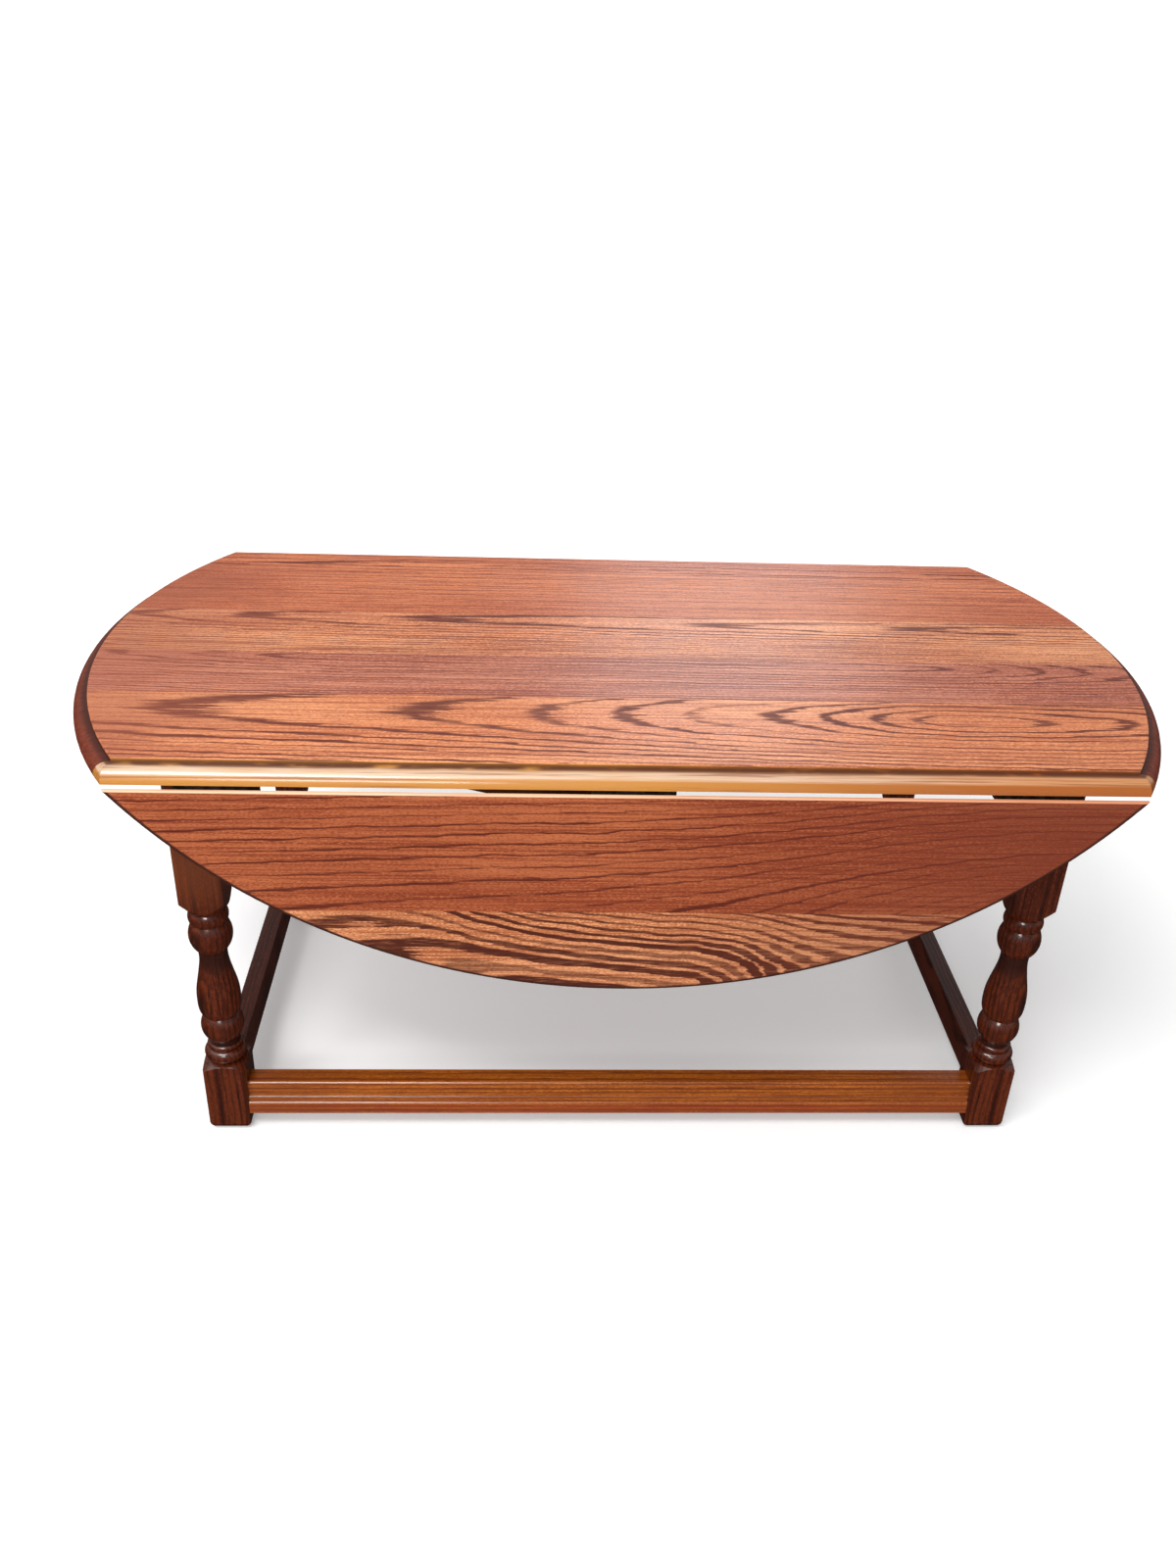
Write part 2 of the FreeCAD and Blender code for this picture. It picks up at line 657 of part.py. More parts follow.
# ---- swinging supports ----
def front_bracket():
    """Bracket on edge: deep at its pivot, thin at its tip, folded toward -X."""
    low = RAIL_BOTTOM + WASHER
    high = UNDERSIDE - BRACKET_CLEAR
    relieved = high - BRACKET_RELIEF
    half = BRACKET_THICKNESS / 2
    tip = BRACKET_LENGTH
    tip_low = high - BRACKET_TIP_DEPTH
    nose = BRACKET_NOSE
    nose_middle = nose * (1 - math.sqrt(0.5))

    def at(out, z):
        return FreeCAD.Vector(-out, -BRACKET_Y - half, z)

    sweep = [at(tip - nose, tip_low), at(190, tip_low + 0.5), at(140, tip_low - 9),
             at(95, low + 4), at(BRACKET_ROOT, low)]
    outline = Part.Wire([
        line(at(0, low), at(0, relieved)),
        line(at(0, relieved), at(RELIEF_END[0], relieved)),
        line(at(RELIEF_END[0], relieved), at(RELIEF_END[1], high)),
        line(at(RELIEF_END[1], high), at(tip, high)),
        line(at(tip, high), at(tip, tip_low + nose)),
        arc(at(tip, tip_low + nose), at(tip - nose_middle, tip_low + nose_middle),
            at(tip - nose, tip_low)),
        curve_through(sweep),
        line(at(BRACKET_ROOT, low), at(0, low)),
    ])
    arm = Part.Face(outline).extrude(FreeCAD.Vector(0, BRACKET_THICKNESS, 0))
    knuckle = rod(half, relieved - low, FreeCAD.Vector(0, -BRACKET_Y, low))
    bore = rod(PIVOT_PIN_RADIUS + RUNNING_FIT, RAIL_DEPTH,
               FreeCAD.Vector(0, -BRACKET_Y, low - PAST))
    return one_solid(arm.fuse(knuckle).cut(bore))


def front_pivot_pin():
    low = RAIL_BOTTOM - BEARER_THICKNESS + PIVOT_PIN_SHORT[0]
    high = UNDERSIDE + PIVOT_PIN_BITE - PIVOT_PIN_SHORT[1]
    return rod(PIVOT_PIN_RADIUS, high - low, FreeCAD.Vector(0, -BRACKET_Y, low))


def pivot_washers():
    base = FreeCAD.Vector(0, -BRACKET_Y, RAIL_BOTTOM)
    ring = rod(WASHER_RADIUS, WASHER, base).cut(rod(PIVOT_PIN_RADIUS + RUNNING_FIT, WASHER, base))
    return both_ways(ring)


# ---- buttons, blocks and their screws ----
def top_buttons():
    solids = []
    hole = screw_hole(*BUTTON_SCREW)
    low = UNDERSIDE - BUTTON[2]
    for x, y, direction in button_places():
        half_x = BUTTON[1] / 2 if direction[0] else BUTTON[0] / 2
        half_y = BUTTON[0] / 2 if direction[0] else BUTTON[1] / 2
        body = box((x - half_x, x + half_x), (y - half_y, y + half_y), (low, UNDERSIDE))
        tongue = button_slot(x, y, direction, 0.0)
        solids.append(one_solid(body.fuse(tongue).cut(moved(hole, x, y, low))))
    return solids


def corner_blocks():
    upright = screw_hole(*BLOCK_SCREW)
    lying = side_screw_shape(screw_hole(*SIDE_SCREW))
    low = UNDERSIDE - CORNER_BLOCK[2]
    half_x = CORNER_BLOCK[0] / 2
    half_y = CORNER_BLOCK[1] / 2
    x = -(APRON_INNER - half_x)
    y = -(LEG_Y - LEG_HALF - half_y)
    block = box((x - half_x, x + half_x), (y - half_y, y + half_y), (low, UNDERSIDE))
    block = block.cut([moved(upright, x, y, low), moved(lying, x + half_x, y)])
    return four_corners(one_solid(block))


def corner_block_screws():
    x = -(APRON_INNER - CORNER_BLOCK[0] / 2)
    y = -(LEG_Y - LEG_HALF - CORNER_BLOCK[1] / 2)
    upright = moved(screw(*BLOCK_SCREW), x, y, UNDERSIDE - CORNER_BLOCK[2])
    lying = moved(side_screw_shape(screw(*SIDE_SCREW)), x + CORNER_BLOCK[0] / 2, y)
    return four_corners(upright) + four_corners(lying)


# ---- write the nodes ----
def export(name, shapes):
    solids = shapes if isinstance(shapes, list) else [shapes]
    for solid in solids:
        if not solid.isValid():
            print("not valid:", name)
    shape = solids[0] if len(solids) == 1 else Part.makeCompound(solids)
    shape.exportStep(os.path.join("parts", name + ".step"))


def export_pair(name, shape):
    """A front piece and its twin at the back."""
    export("front_" + name, shape)
    export("back_" + name, to_back(shape))


def main():
    os.makedirs("parts", exist_ok=True)
    export("top_panel", top_panel())
    export_pair("leaf", front_leaf())
    for name, leg in zip(("leg_front_left", "leg_front_right", "leg_back_left",
                          "leg_back_right"), four_corners(front_left_leg())):
        export(name, leg)
    export_pair("stretcher", front_stretcher())
    side = left_stretcher()
    export("left_stretcher", side)
    export("right_stretcher", to_back(side))
    apron = left_apron()
    export("left_apron", apron)
    export("right_apron", to_back(apron))
    export("spine_rail", spine_rail())
    export("centre_rail", centre_rail())
    export("centre_bearer", centre_bearer())
    export_pair("bracket", front_bracket())
    export_pair("pivot_pin", front_pivot_pin())
    export("pivot_washers", pivot_washers())
    for name, shape in hinges().items():
        export_pair(name, shape)
    flap_screw = screw(*FLAP_SCREW)
    plate_face = UNDERSIDE - PLATE
    top_screws = placed(flap_screw, flap_screw_places(TOP_SCREW_U), plate_face)
    export("top_flap_screws", top_screws + [to_back(item) for item in top_screws])
    leaf_screws = placed(flap_screw, flap_screw_places(LEAF_SCREW_U), plate_face)
    leaf_screws = [hang(item) for item in leaf_screws]
    export("front_leaf_screws", leaf_screws)
    export("back_leaf_screws", [to_back(item) for item in leaf_screws])
    export("top_buttons", top_buttons())
    places = [(x, y) for x, y, direction in button_places()]
    export("button_screws", placed(screw(*BUTTON_SCREW), places, UNDERSIDE - BUTTON[2]))
    export("corner_blocks", corner_blocks())
    export("corner_block_screws", corner_block_screws())
    export("bearer_screws", placed(screw(*BEARER_SCREW), bearer_screw_places(),
                                   RAIL_BOTTOM - BEARER_THICKNESS))


main()
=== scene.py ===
"""Looks of the oak drop-leaf table: stained oak board by board, polish, wear, painted highlights
and painted shade, and old steel.
"""
import bpy
import math
from mathutils import Matrix, Vector

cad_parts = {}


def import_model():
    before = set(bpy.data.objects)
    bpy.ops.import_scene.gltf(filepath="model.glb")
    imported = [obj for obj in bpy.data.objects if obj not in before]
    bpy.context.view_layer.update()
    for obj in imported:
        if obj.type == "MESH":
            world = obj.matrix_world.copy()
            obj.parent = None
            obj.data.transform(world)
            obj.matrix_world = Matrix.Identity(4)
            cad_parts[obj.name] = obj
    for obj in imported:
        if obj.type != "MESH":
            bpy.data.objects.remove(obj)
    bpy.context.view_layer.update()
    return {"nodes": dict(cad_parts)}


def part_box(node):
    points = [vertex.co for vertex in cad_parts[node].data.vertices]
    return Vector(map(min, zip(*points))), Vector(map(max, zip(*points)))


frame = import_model()
nodes = frame["nodes"]

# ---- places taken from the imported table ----
_, TOP_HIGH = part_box("top_panel")
LEAF_LOW, LEAF_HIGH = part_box("front_leaf")
LEG_LOW, LEG_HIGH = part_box("leg_front_right")
PIN_LOW, PIN_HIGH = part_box("back_hinge_middle_pin")
TOP_Z = TOP_HIGH.z
LEAF_TOP = LEAF_HIGH.z
HINGE_LINE = (PIN_LOW.y + PIN_HIGH.y) / 2
LEG_X = (LEG_LOW.x + LEG_HIGH.x) / 2
LEG_Y = -(LEG_LOW.y + LEG_HIGH.y) / 2
TOP_SEAMS = (-0.133, -0.035, 0.078)     # glue lines of the top, along Y
LEAF_SEAM = 0.313                       # glue line of a hanging leaf, height
LEAF_HALF, LEAF_REACH = 0.555, 0.480    # half axes of the oval that the leaves follow
REACH = 0.56                            # half length that the figure curves cover

# ---- wood, polish and camera ----
PORE_DEPTH = 0.00009        # height of the oak's grooves, metres
SCALE_DEPTH = 0.0001        # height of the pitting on the metal
RING_SPACING = 0.0048       # between the growth rings of the legs and rails
POLISH_ROUGHNESS = 0.16     # clear polish on the frame and the golden edge
LOOK_TURN = (0.055, -0.511, 0.039)      # yaw, pitch and roll of the camera, radians
LOOK_FROM = (-0.0955, -1.2549, 0.9917)
LENS = 29.49                # millimetres, on a sensor as high as SENSOR
SENSOR = 36.0


# ---- fields: node maths written as ordinary sums ----
class Field:
    """A socket of a node tree that adds, multiplies and so on by adding nodes."""

    def __init__(self, tree, socket):
        self.tree = tree
        self.socket = socket

    def op(self, kind, *others):
        node = self.tree.nodes.new("ShaderNodeMath")
        node.operation = kind
        for slot, value in enumerate((self,) + others):
            plug(self.tree, value, node.inputs[slot])
        return Field(self.tree, node.outputs[0])

    def __add__(self, other):
        return self.op("ADD", other)

    __radd__ = __add__

    def __sub__(self, other):
        return self.op("SUBTRACT", other)

    def __rsub__(self, other):
        return (self * -1.0) + other

    def __mul__(self, other):
        return self.op("MULTIPLY", other)

    __rmul__ = __mul__

    def __truediv__(self, other):
        return self.op("DIVIDE", other)

    def over(self, edge):
        return self.op("GREATER_THAN", edge)

    def band(self, low, high, to_low=0.0, to_high=1.0):
        """Smooth step from to_low at low to to_high at high."""
        node = self.tree.nodes.new("ShaderNodeMapRange")
        node.interpolation_type = "SMOOTHSTEP"
        plug(self.tree, self, node.inputs["Value"])
        for name, value in (("From Min", low), ("From Max", high), ("To Min", to_low),
                            ("To Max", to_high)):
            plug(self.tree, value, node.inputs[name])
        return Field(self.tree, node.outputs["Result"])


def plug(tree, value, socket):
    if isinstance(value, Field):
        tree.links.new(value.socket, socket)
    else:
        socket.default_value = value


def position(tree):
    """x, y and z in metres in the table's own frame; they stay on a body that moves."""
    coordinates = tree.nodes.new("ShaderNodeTexCoord")
    split = tree.nodes.new("ShaderNodeSeparateXYZ")
    tree.links.new(coordinates.outputs["Object"], split.inputs[0])
    return [Field(tree, split.outputs[axis]) for axis in range(3)]


def normal_of(tree):
    coordinates = tree.nodes.new("ShaderNodeTexCoord")
    split = tree.nodes.new("ShaderNodeSeparateXYZ")
    tree.links.new(coordinates.outputs["Normal"], split.inputs[0])
    return [Field(tree, split.outputs[axis]) for axis in range(3)]


def noise(x, y, z=0.0, scale=1.0, detail=2.0, rough=0.5, w=0.0):
    """Noise about zero at (x, y, z) * scale."""
    tree = x.tree
    join = tree.nodes.new("ShaderNodeCombineXYZ")
    for slot, value in enumerate((x, y, z)):
        plug(tree, value, join.inputs[slot])
    node = tree.nodes.new("ShaderNodeTexNoise")
    node.noise_dimensions = "4D"
    tree.links.new(join.outputs[0], node.inputs["Vector"])
    plug(tree, w, node.inputs["W"])
    node.inputs["Scale"].default_value = scale
    node.inputs["Detail"].default_value = detail
    node.inputs["Roughness"].default_value = rough
    return Field(tree, node.outputs["Fac"]) - 0.5


def blend(tree, factor, first, second):
    """Colour between two colours; each is a socket or an (r, g, b)."""
    node = tree.nodes.new("ShaderNodeMix")
    node.data_type = "RGBA"
    node.clamp_factor = True
    plug(tree, factor, node.inputs[0])
    for value, socket in ((first, node.inputs[6]), (second, node.inputs[7])):
        if isinstance(value, tuple):
            socket.default_value = value + (1.0,)
        else:
            tree.links.new(value, socket)
    return node.outputs[2]


def material(name):
    made = bpy.data.materials.new(name)
    made.use_nodes = True
    tree = made.node_tree
    return made, tree, tree.nodes["Principled BSDF"]


def raised(tree, shader, height, distance):
    bump = tree.nodes.new("ShaderNodeBump")
    bump.inputs["Distance"].default_value = distance
    bump.inputs["Strength"].default_value = 1.0
    plug(tree, height, bump.inputs["Height"])
    tree.links.new(bump.outputs[0], shader.inputs["Normal"])


def piecewise(field, edges, values):
    """values[i] between edges[i - 1] and edges[i]."""
    total = None
    for edge, before, after in zip(edges, values, values[1:]):
        step = field.over(edge) * (after - before)
        total = step if total is None else total + step
    return total + values[0]


def profile(field, points, top):
    """Smooth curve through (place along the board in metres, value); values go up to top."""
    tree = field.tree
    node = tree.nodes.new("ShaderNodeFloatCurve")
    line = node.mapping.curves[0]
    while len(line.points) < len(points):
        line.points.new(0.5, 0.5)
    for point, (place, value) in zip(line.points, points):
        point.location = ((place + REACH) / (2 * REACH), value / top)
    node.mapping.update()
    plug(tree, (field + REACH) / (2 * REACH), node.inputs["Value"])
    return Field(tree, node.outputs[0]) * top


def choose(field, edges, fields):
    """fields[i] between edges[i - 1] and edges[i]."""
    total = fields[0]
    for edge, before, after in zip(edges, fields, fields[1:]):
        total = total + (after - before) * field.over(edge)
    return total


def choose_colour(tree, field, edges, colours):
    total = colours[0]
    for edge, colour in zip(edges, colours[1:]):
        total = blend(tree, field.over(edge), total, colour)
    return total


# ---- oak ----
def vessels(along, across, depth, seed):
    """Noise drawn out along the grain: how the open vessels lie."""
    long = noise(along * 16.0, across * 520.0, depth * 520.0, scale=1.0, detail=2.0, rough=0.6,
                 w=seed + 7.7)
    short = noise(along * 60.0, across * 1100.0, depth * 1100.0, scale=1.0, detail=1.0, w=seed)
    return long, short


def rings(along, across, heart, spacing, squeeze, cone, seed, long):
    """Ring count of a flat-sawn board, and how nearly the face runs along the ring there.

    heart is where across the board the ring centres lie, and cone says how many rings the
    face is away from the centre there, a field of along: its slopes make the nested points
    and its lows the ovals. squeeze packs the rings closer away from the heart.
    """
    sway = noise(along, across * 0.7, scale=3.0, detail=2.0, w=seed) * 0.020
    shake = noise(along * 3.0, across * 6.0, scale=9.0, detail=2.0, w=seed + 3.1) * 0.006
    side = (across - heart + sway + shake).op("ABSOLUTE")
    count = side / spacing * (side * squeeze + 1.0)
    turns = (count * count + cone * cone).op("SQRT")
    tip = cone / (turns + 0.001)
    return turns + long * (tip * 0.20 + 0.06), tip * tip


def early_wood(turns, tip, long, seed, thin, fade):
    """1 in the dark porous wood at each ring's start: sharp inside, ragged outside."""
    phase = turns.op("FRACT")
    odd = noise(turns.op("FLOOR") * 1.37, seed, 0.5, scale=1.0, detail=0.0)
    width = odd * 0.4 + thin + tip * 0.05 + long * (tip * 0.7 + 0.25)
    band = phase.band(0.0, 0.05) * (phase - width).band(0.0, fade, 1.0, 0.0)
    return band * (odd + 0.95)


def oak(tree, shader, spot, seed, turns, tip, long, short, tones, thin=0.14, fade=0.16,
        gloss=0.35, tint=None):
    """Colour, gloss and grooves. tones: body, warmer body, darker body, early wood."""
    along, across, depth = spot
    body, warm, dusk, deep = tones
    dark = early_wood(turns, tip, long, seed, thin, fade)
    patch = noise(along, across * 3.5, depth * 3.5, scale=3.2, detail=3.0, w=seed + 11.0)
    streak = noise(along * 3.0, across * 300.0, depth * 300.0, scale=1.0, detail=3.0,
                   rough=0.65, w=seed + 13.0)
    fleck = noise(along * 330.0, across * 900.0, depth * 900.0, scale=1.0, detail=1.0,
                  w=seed + 17.0)
    line = noise(along * 8.0, across * 760.0, depth * 760.0, scale=1.0, detail=2.0,
                 w=seed + 23.0)
    colour = blend(tree, patch.band(-0.12, 0.12), body, warm)
    colour = blend(tree, (streak + line * 0.6).band(-0.06, 0.15) * 0.9, colour, dusk)
    colour = blend(tree, (line * -1.0 + fleck * 1.2).band(0.02, 0.22) * 0.80, colour, warm)
    colour = blend(tree, (fleck * -1.0).band(0.0, 0.16) * 0.55, colour, dusk)
    colour = blend(tree, dark * (streak * 0.9 + short * 1.2 + 0.95), colour, deep)
    pore = short.band(0.05, 0.18) * (dark * 0.5 + 0.30)
    colour = blend(tree, pore, colour, deep)
    if tint:
        colour = tint(colour)
    tree.links.new(colour, shader.inputs["Base Color"])
    plug(tree, patch * 0.12 + gloss + dark * 0.12 + fleck * 0.10, shader.inputs["Roughness"])
    raised(tree, shader, dark * -0.4 - pore * 0.8 + streak * 0.2, PORE_DEPTH)


def top_oak():
    made, tree, shader = material("top_oak")
    x, y, z = position(tree)
    edges = TOP_SEAMS
    seed = piecewise(y, edges, (2.0, 9.0, 17.0, 31.0))
    heart = piecewise(y, edges, (-0.168, -0.047, 0.060, 0.232)) - x * 0.012
    spacing = piecewise(y, edges, (0.0112, 0.0078, 0.0074, 0.0060))
    cones = (
        ((-0.56, 9.9), (-0.387, 9.0), (-0.188, 8.0), (-0.077, 7.0), (0.005, 6.0), (0.065, 5.0),
         (0.149, 4.0), (0.199, 3.0), (0.244, 2.0), (0.282, 1.0), (0.335, 0.2), (0.391, 1.0),
         (0.471, 2.0), (0.56, 3.4)),
        ((-0.56, 3.6), (-0.416, 2.0), (-0.339, 1.0), (-0.25, 0.4), (0.0, 0.2), (0.24, 0.4),
         (0.325, 1.0), (0.383, 2.0), (0.431, 3.0), (0.475, 4.0), (0.56, 5.4)),
        ((-0.56, 6.5), (-0.50, 6.0), (-0.38, 5.0), (-0.16, 4.0), (0.145, 3.0), (0.36, 2.0),
         (0.56, 1.2)),
        ((-0.56, 3.1), (-0.33, 2.0), (-0.19, 1.4), (-0.03, 1.0), (0.26, 1.3), (0.56, 2.3)),
    )
    cone = choose(y, edges, [profile(x, points, 12.0) for points in cones])
    long, short = vessels(x, y, z, seed)
    slipped = long + noise(x * 3.0, y * 150.0, scale=1.0, detail=1.0, w=seed) * 0.9
    cone = cone + slipped * piecewise(y, edges, (0.65, 0.9, 0.8, 1.1))
    turns, tip = rings(x, y, heart, spacing, 4.0, cone, seed, long)
    body = choose_colour(tree, y, edges, ((0.68, 0.225, 0.092), (0.49, 0.150, 0.084),
                                          (0.68, 0.228, 0.100), (0.62, 0.165, 0.066)))
    warm = choose_colour(tree, y, edges, ((0.88, 0.360, 0.165), (0.70, 0.275, 0.165),
                                          (0.92, 0.400, 0.195), (0.80, 0.265, 0.115)))
    dusk = choose_colour(tree, y, edges, ((0.40, 0.105, 0.046), (0.27, 0.066, 0.042),
                                          (0.34, 0.086, 0.042), (0.34, 0.068, 0.030)))
    deep = (0.135, 0.026, 0.016)

    def wear_and_painted_light(colour):
        """Golden worn rule-joint edge with a painted highlight along its crown, dark end
        mouldings, and painted shade as a dark line along the quirk and under the lip.
        """
        down = TOP_Z - z
        straight = y.op("ABSOLUTE").band(HINGE_LINE - 0.0006, HINGE_LINE + 0.0004)
        rub = noise(x * 5.0, y * 340.0, z * 340.0, scale=1.0, detail=3.0, rough=0.6, w=1.0)
        figure = noise(x * 3.0, z * 190.0, scale=1.0, detail=2.0, w=6.0)
        thread = noise(x * 14.0, z * 900.0, scale=1.0, detail=2.0, rough=0.6, w=3.0)
        gold = blend(tree, x.band(-0.05, 0.36), (0.46, 0.190, 0.028), (0.32, 0.085, 0.011))
        # painted highlight: a pale streaked band along the crown of the golden edge, paler
        # toward the left end
        crown_highlight = down.band(0.0040, 0.0055) * down.band(0.0085, 0.0110, 1.0, 0.0)
        pale = blend(tree, x.band(0.12, 0.40), (0.64, 0.47, 0.34), (0.58, 0.29, 0.13))
        gold = blend(tree, crown_highlight * ((rub + thread) * 1.5 + 0.70), gold, pale)
        gold = blend(tree, (rub + figure * 0.9 + thread * 0.5).band(0.03, 0.20) * 0.8, gold,
                     (0.27, 0.085, 0.022))
        moulding = blend(tree, rub.band(-0.2, 0.2), (0.105, 0.016, 0.007), (0.19, 0.036, 0.014))
        below = down.band(0.0012, 0.0024)
        # painted shade: a near-black line in the quirk just below the flat; on the rule-joint
        # edge the gold covers it
        quirk_shade = below * down.band(0.0038, 0.0060, 0.8, 0.0)
        plug(tree, below * straight * 0.7, shader.inputs["Coat Weight"])
        shader.inputs["Coat Roughness"].default_value = POLISH_ROUGHNESS
        stain = noise(x * 5.0, y * 14.0, scale=1.0, detail=3.0, w=8.0) * 1.5
        worn = (x + stain * 0.3).band(-0.52, -0.30, 0.55, 0.0)
        colour = blend(tree, worn, colour, (0.33, 0.085, 0.045))
        colour = blend(tree, below, colour, moulding)
        colour = blend(tree, quirk_shade, colour, (0.030, 0.006, 0.003))
        colour = blend(tree, straight, colour, gold)
        # painted shade: a patchy dark line under the lip of the rule-joint edge, broken by gold
        # crumbs
        lip = below * down.band(0.0042, 0.0056, 1.0, 0.0) * straight
        crumbs = noise(x * 30.0, z * 300.0, scale=1.0, detail=2.0, w=4.0)
        return blend(tree, lip * crumbs.band(-0.25, 0.0), colour, (0.10, 0.030, 0.012))

    oak(tree, shader, (x, y, z), seed, turns, tip, long, short, (body, warm, dusk, deep),
        tint=wear_and_painted_light)
    shader.inputs["Specular IOR Level"].default_value = 0.35
    return made


def leaf_oak(name, seed):
    made, tree, shader = material(name)
    x, y, z = position(tree)
    facing = normal_of(tree)
    edges = (LEAF_SEAM,)
    fall = ((-0.56, 0.300), (-0.27, 0.270), (-0.20, 0.252), (-0.12, 0.222), (0.0, 0.203),
            (0.10, 0.198), (0.56, 0.200))
    heart = choose(z, edges, [profile(x, fall, 0.5), 0.275])
    spacing = piecewise(z, edges, (0.0215, 0.0078))
    squeeze = piecewise(z, edges, (10.0, 0.0))
    lower = ((-0.56, 8.0), (-0.35, 5.0), (-0.27, 3.9), (-0.20, 3.0), (-0.15, 2.0), (-0.10, 1.0),
             (-0.02, 0.3), (0.04, 0.7), (0.08, 2.4), (0.11, 4.4), (0.14, 6.6), (0.18, 8.4),
             (0.24, 9.6), (0.40, 11.0), (0.56, 12.4))
    upper = ((-0.56, 15.8), (-0.35, 15.4), (-0.20, 14.9), (0.0, 13.5), (0.1, 12.3), (0.2, 10.2),
             (0.3, 7.2), (0.4, 3.6), (0.56, 0.6))
    cone = choose(z, edges, [profile(x, points, 24.0) for points in (lower, upper)])
    long, short = vessels(x, z, y, seed)
    slipped = long + noise(x * 3.0, z * 200.0, scale=1.0, detail=1.0, w=seed)
    cone = cone + slipped * piecewise(z, edges, (0.8, 0.22))
    turns, tip = rings(x, z, heart, spacing, squeeze, cone, seed, long)
    below = z.over(LEAF_SEAM) * -1.0 + 1.0
    body = blend(tree, below, (0.260, 0.056, 0.019), (0.42, 0.145, 0.056))
    warm = blend(tree, below, (0.375, 0.104, 0.038), (0.64, 0.280, 0.130))
    dusk = blend(tree, below, (0.175, 0.030, 0.010), (0.28, 0.072, 0.026))
    deep = blend(tree, below, (0.085, 0.012, 0.005), (0.068, 0.013, 0.006))
    thin = below * (z.band(0.270, 0.290, 0.26, 0.0) + 0.27) + 0.04
    dim = x.band(-0.05, 0.46)
    out = (LEAF_LOW.z + LEAF_REACH - z) / LEAF_REACH
    rim = (x * x / LEAF_HALF ** 2 + out * out).op("SQRT").band(0.9885, 0.9925)

    def wear_and_painted_light(colour):
        """Darker toward one end, dark rounded edge, and a pale lip along the hinge that is
        partly wear and partly a painted highlight.
        """
        colour = blend(tree, dim * 0.74, colour, (0.13, 0.022, 0.010))
        turned = facing[1].op("ABSOLUTE").band(0.88, 0.995, 1.0, 0.0)
        colour = blend(tree, turned.op("MAXIMUM", rim), colour, (0.045, 0.012, 0.007))
        rub = noise(x * 9.0, y * 200.0, z * 200.0, scale=1.0, detail=3.0, w=2.0)
        # pale lip along the hinge: worn wood and a painted highlight, paler toward the left end
        worn_cream_and_highlight = blend(tree, x.band(-0.2, 0.45), (0.82, 0.50, 0.32), (0.62, 0.25, 0.13))
        worn_cream_and_highlight = blend(tree, rub.band(0.0, 0.25) * 0.6, worn_cream_and_highlight, (0.40, 0.14, 0.07))
        lip = z.band(LEAF_TOP - 0.0022, LEAF_TOP - 0.0010)
        return blend(tree, lip, colour, worn_cream_and_highlight)

    oak(tree, shader, (x, z, y), seed, turns, tip, long, short, (body, warm, dusk, deep),
        thin=thin, gloss=0.40, tint=wear_and_painted_light)
    shader.inputs["Specular IOR Level"].default_value = 0.12
    return made


def frame_oak(name, axis, tones, seed, gloss, gleam, pith, local=None, tint=None):
    """Oak of a narrow piece whose grain runs along one axis (0, 1 or 2).

    gleam is the strength of the clear polish over it. pith is the middle of the tree, across
    and through the piece. The rings are solid, so a turned shape cuts ovals and nested points
    out of them.
    """
    made, tree, shader = material(name)
    spot = position(tree)
    along, across, depth = spot[axis], spot[(axis + 1) % 3], spot[(axis + 2) % 3]
    if local:
        across, depth = local(across, depth)
    long, short = vessels(along, across, depth, seed)
    bend = noise(along, 0.0, scale=5.0, detail=2.0, w=seed) * 0.04
    out = across - pith[0] + bend
    over = depth - pith[1] - bend * 0.6
    turns = (out * out + over * over).op("SQRT") / RING_SPACING + long * 0.9
    done = tint and (lambda colour: tint(tree, spot, colour))
    oak(tree, shader, (along, across, depth), seed, turns, 0.4, long, short, tones, thin=0.10,
        fade=0.45, gloss=gloss, tint=done)
    shader.inputs["Specular IOR Level"].default_value = 0.2
    shader.inputs["Coat Weight"].default_value = gleam
    shader.inputs["Coat Roughness"].default_value = POLISH_ROUGHNESS
    return made


def from_leg_axis(x, y):
    return x.op("ABSOLUTE") - LEG_X, y.op("ABSOLUTE") - LEG_Y


def leg_hollow_shade_and_warm_heads(tree, spot, colour):
    """Painted shade in the hollows of the turning, and warmer heads on the left legs."""
    x, y, z = spot
    dx, dy = from_leg_axis(x, y)
    radius = (dx * dx + dy * dy).op("SQRT")
    # painted shade: darker where the turning is thin, in the hollows between the beads
    colour = blend(tree, radius.band(0.0135, 0.0175, 0.85, 0.0), colour, (0.020, 0.005, 0.003))
    warm = z.band(0.26, 0.34) * x.band(-0.2, 0.0, 0.6, 0.0)
    return blend(tree, warm, colour, (0.17, 0.040, 0.009))


def rail_shine(tree, spot, colour):
    """Redder and mottled below the bead, darker toward both ends."""
    x, _, z = spot
    mottle = noise(x * 60.0, z * 330.0, scale=1.0, detail=4.0, rough=0.7, w=5.0)
    low = z.band(0.032, 0.037, 1.0, 0.0) * mottle.band(-0.25, 0.2) * 0.7
    colour = blend(tree, low, colour, (0.24, 0.030, 0.014))
    ends = x.op("ABSOLUTE").band(0.22, 0.36, 0.0, 0.45)
    return blend(tree, ends, colour, (0.17, 0.034, 0.006))


def metal(name, colour, other, rough):
    made, tree, shader = material(name)
    x, y, z = position(tree)
    patch = noise(x, y, z, scale=90.0, detail=4.0, rough=0.65)
    grime = noise(x, y, z, scale=320.0, detail=2.0)
    colour = blend(tree, patch.band(-0.15, 0.2), colour, other)
    tree.links.new(colour, shader.inputs["Base Color"])
    shader.inputs["Metallic"].default_value = 1.0
    plug(tree, patch * 0.5 + rough + grime * 0.2, shader.inputs["Roughness"])
    raised(tree, shader, patch + grime * 0.4, SCALE_DEPTH)
    return made


